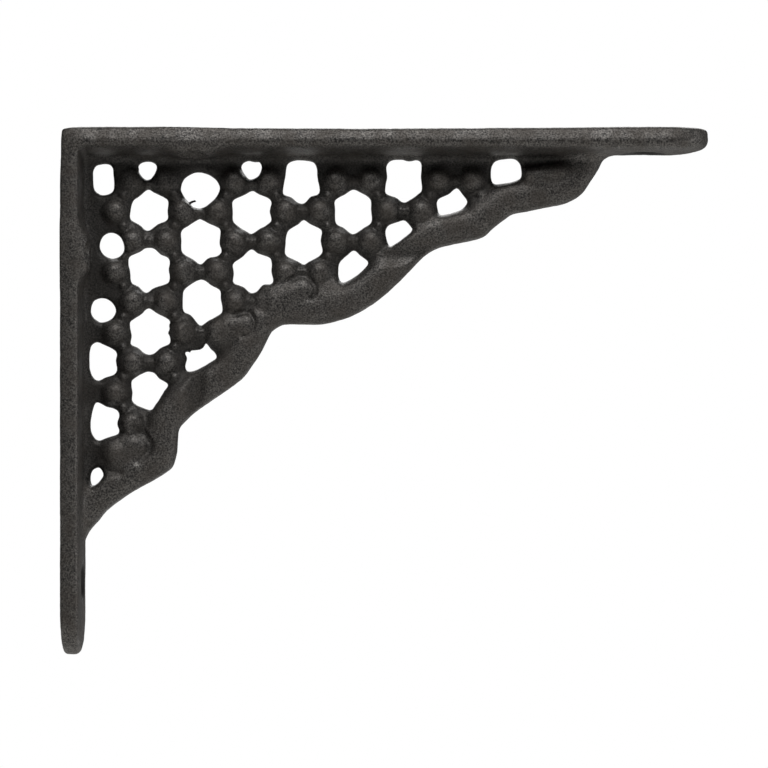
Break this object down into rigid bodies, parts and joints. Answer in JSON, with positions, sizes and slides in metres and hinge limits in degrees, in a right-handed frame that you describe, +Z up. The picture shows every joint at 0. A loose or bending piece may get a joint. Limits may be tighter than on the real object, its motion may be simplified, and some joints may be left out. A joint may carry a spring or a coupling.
{
  "type": "shelf bracket",
  "caption": "Right-angled cast iron shelf bracket: a wall arm and a shelf arm with round screwed ends, braced by an openwork honeycomb of balls and beads with a scalloped border.",
  "frame": {"origin": "middle of the flat back face of the wall arm, halfway up the bracket, where it meets the wall", "axes": "+X out from the wall along the shelf arm, +Z up, +Y along the wall; the web lies in the XZ plane"},
  "size_m": [0.1657, 0.0224, 0.135],
  "materials": {
    "cast_iron": "dark, matte, sand-cast grain"
  },
  "bodies": {
    "root": {"bracket_casting": "cast_iron"}
  },
  "joints": []
}
